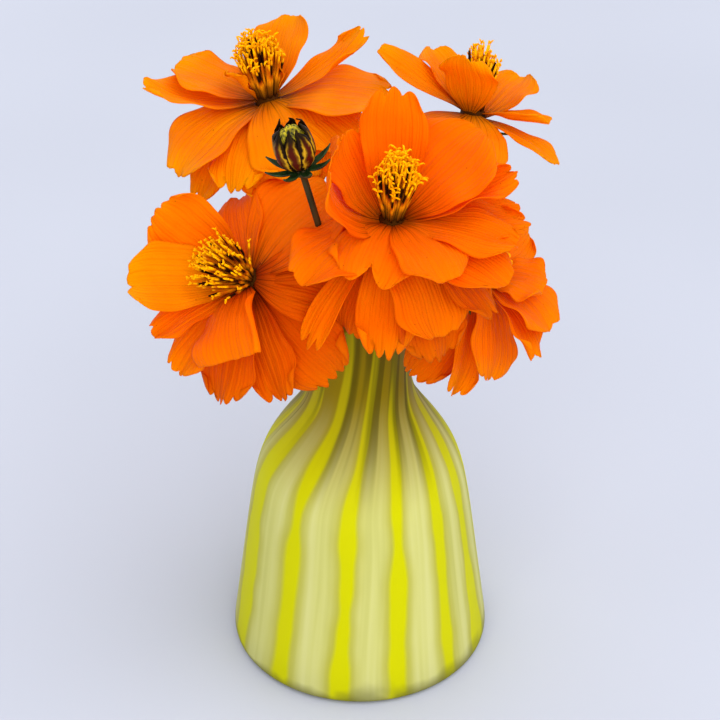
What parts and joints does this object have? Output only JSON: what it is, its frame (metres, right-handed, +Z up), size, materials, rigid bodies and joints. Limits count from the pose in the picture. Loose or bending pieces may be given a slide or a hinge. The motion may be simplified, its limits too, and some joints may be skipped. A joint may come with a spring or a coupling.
{
  "type": "cosmos flower bouquet in a bottle",
  "caption": "Orange sulphur cosmos blooms with a closed bud on green stems, standing in a narrow-necked satin glass bottle with yellow vertical stripes.",
  "frame": {"origin": "centre of the bottle's flat base, on the surface it stands on", "axes": "+Z up along the bottle's axis, -Y towards the viewer, +X to the viewer's right"},
  "size_m": [0.113, 0.0904, 0.1741],
  "materials": {
    "striped_satin_glass": "satin",
    "cosmos_petal": "matte",
    "cosmos_stem": "matte",
    "cosmos_disc_florets": "matte",
    "cosmos_bud": "matte"
  },
  "bodies": {
    "root": {"bottle": "striped_satin_glass", "bud_bracts": "cosmos_stem", "bud_head": "cosmos_bud", "disc_a": "cosmos_disc_florets", "disc_b": "cosmos_disc_florets", "disc_c": "cosmos_disc_florets", "disc_d": "cosmos_disc_florets", "disc_e": "cosmos_disc_florets", "petal_a_back": "cosmos_petal", "petal_a_back_left": "cosmos_petal", "petal_a_back_right": "cosmos_petal", "petal_a_front": "cosmos_petal", "petal_a_front_left": "cosmos_petal", "petal_a_front_right": "cosmos_petal", "petal_a_left": "cosmos_petal", "petal_a_left_low": "cosmos_petal", "petal_a_right": "cosmos_petal", "petal_b_front": "cosmos_petal", "petal_b_left": "cosmos_petal", "petal_b_left_low": "cosmos_petal", "petal_b_low": "cosmos_petal", "petal_b_low_left": "cosmos_petal", "petal_b_low_mid": "cosmos_petal", "petal_b_low_right": "cosmos_petal", "petal_b_right": "cosmos_petal", "petal_b_right_back": "cosmos_petal", "petal_b_up": "cosmos_petal", "petal_b_up_left": "cosmos_petal", "petal_b_up_right": "cosmos_petal", "petal_c_back": "cosmos_petal", "petal_c_back_left": "cosmos_petal", "petal_c_back_right": "cosmos_petal", "petal_c_front": "cosmos_petal", "petal_c_front_right": "cosmos_petal", "petal_c_left": "cosmos_petal", "petal_c_right": "cosmos_petal", "petal_c_right_front": "cosmos_petal", "petal_c_right_low": "cosmos_petal", "petal_c_right_up": "cosmos_petal", "petal_c_under_front": "cosmos_petal", "petal_c_under_left": "cosmos_petal", "petal_c_under_right": "cosmos_petal", "petal_d_back": "cosmos_petal", "petal_d_front": "cosmos_petal", "petal_d_left": "cosmos_petal", "petal_d_right": "cosmos_petal", "petal_d_right_back": "cosmos_petal", "petal_d_right_low": "cosmos_petal", "petal_e_low": "cosmos_petal", "petal_e_low_left": "cosmos_petal", "petal_e_low_right": "cosmos_petal", "petal_e_right": "cosmos_petal", "petal_e_right_low": "cosmos_petal", "petal_e_right_top": "cosmos_petal", "stem_a": "cosmos_stem", "stem_b": "cosmos_stem", "stem_bud": "cosmos_stem", "stem_c": "cosmos_stem", "stem_d": "cosmos_stem", "stem_e": "cosmos_stem"}
  },
  "joints": []
}
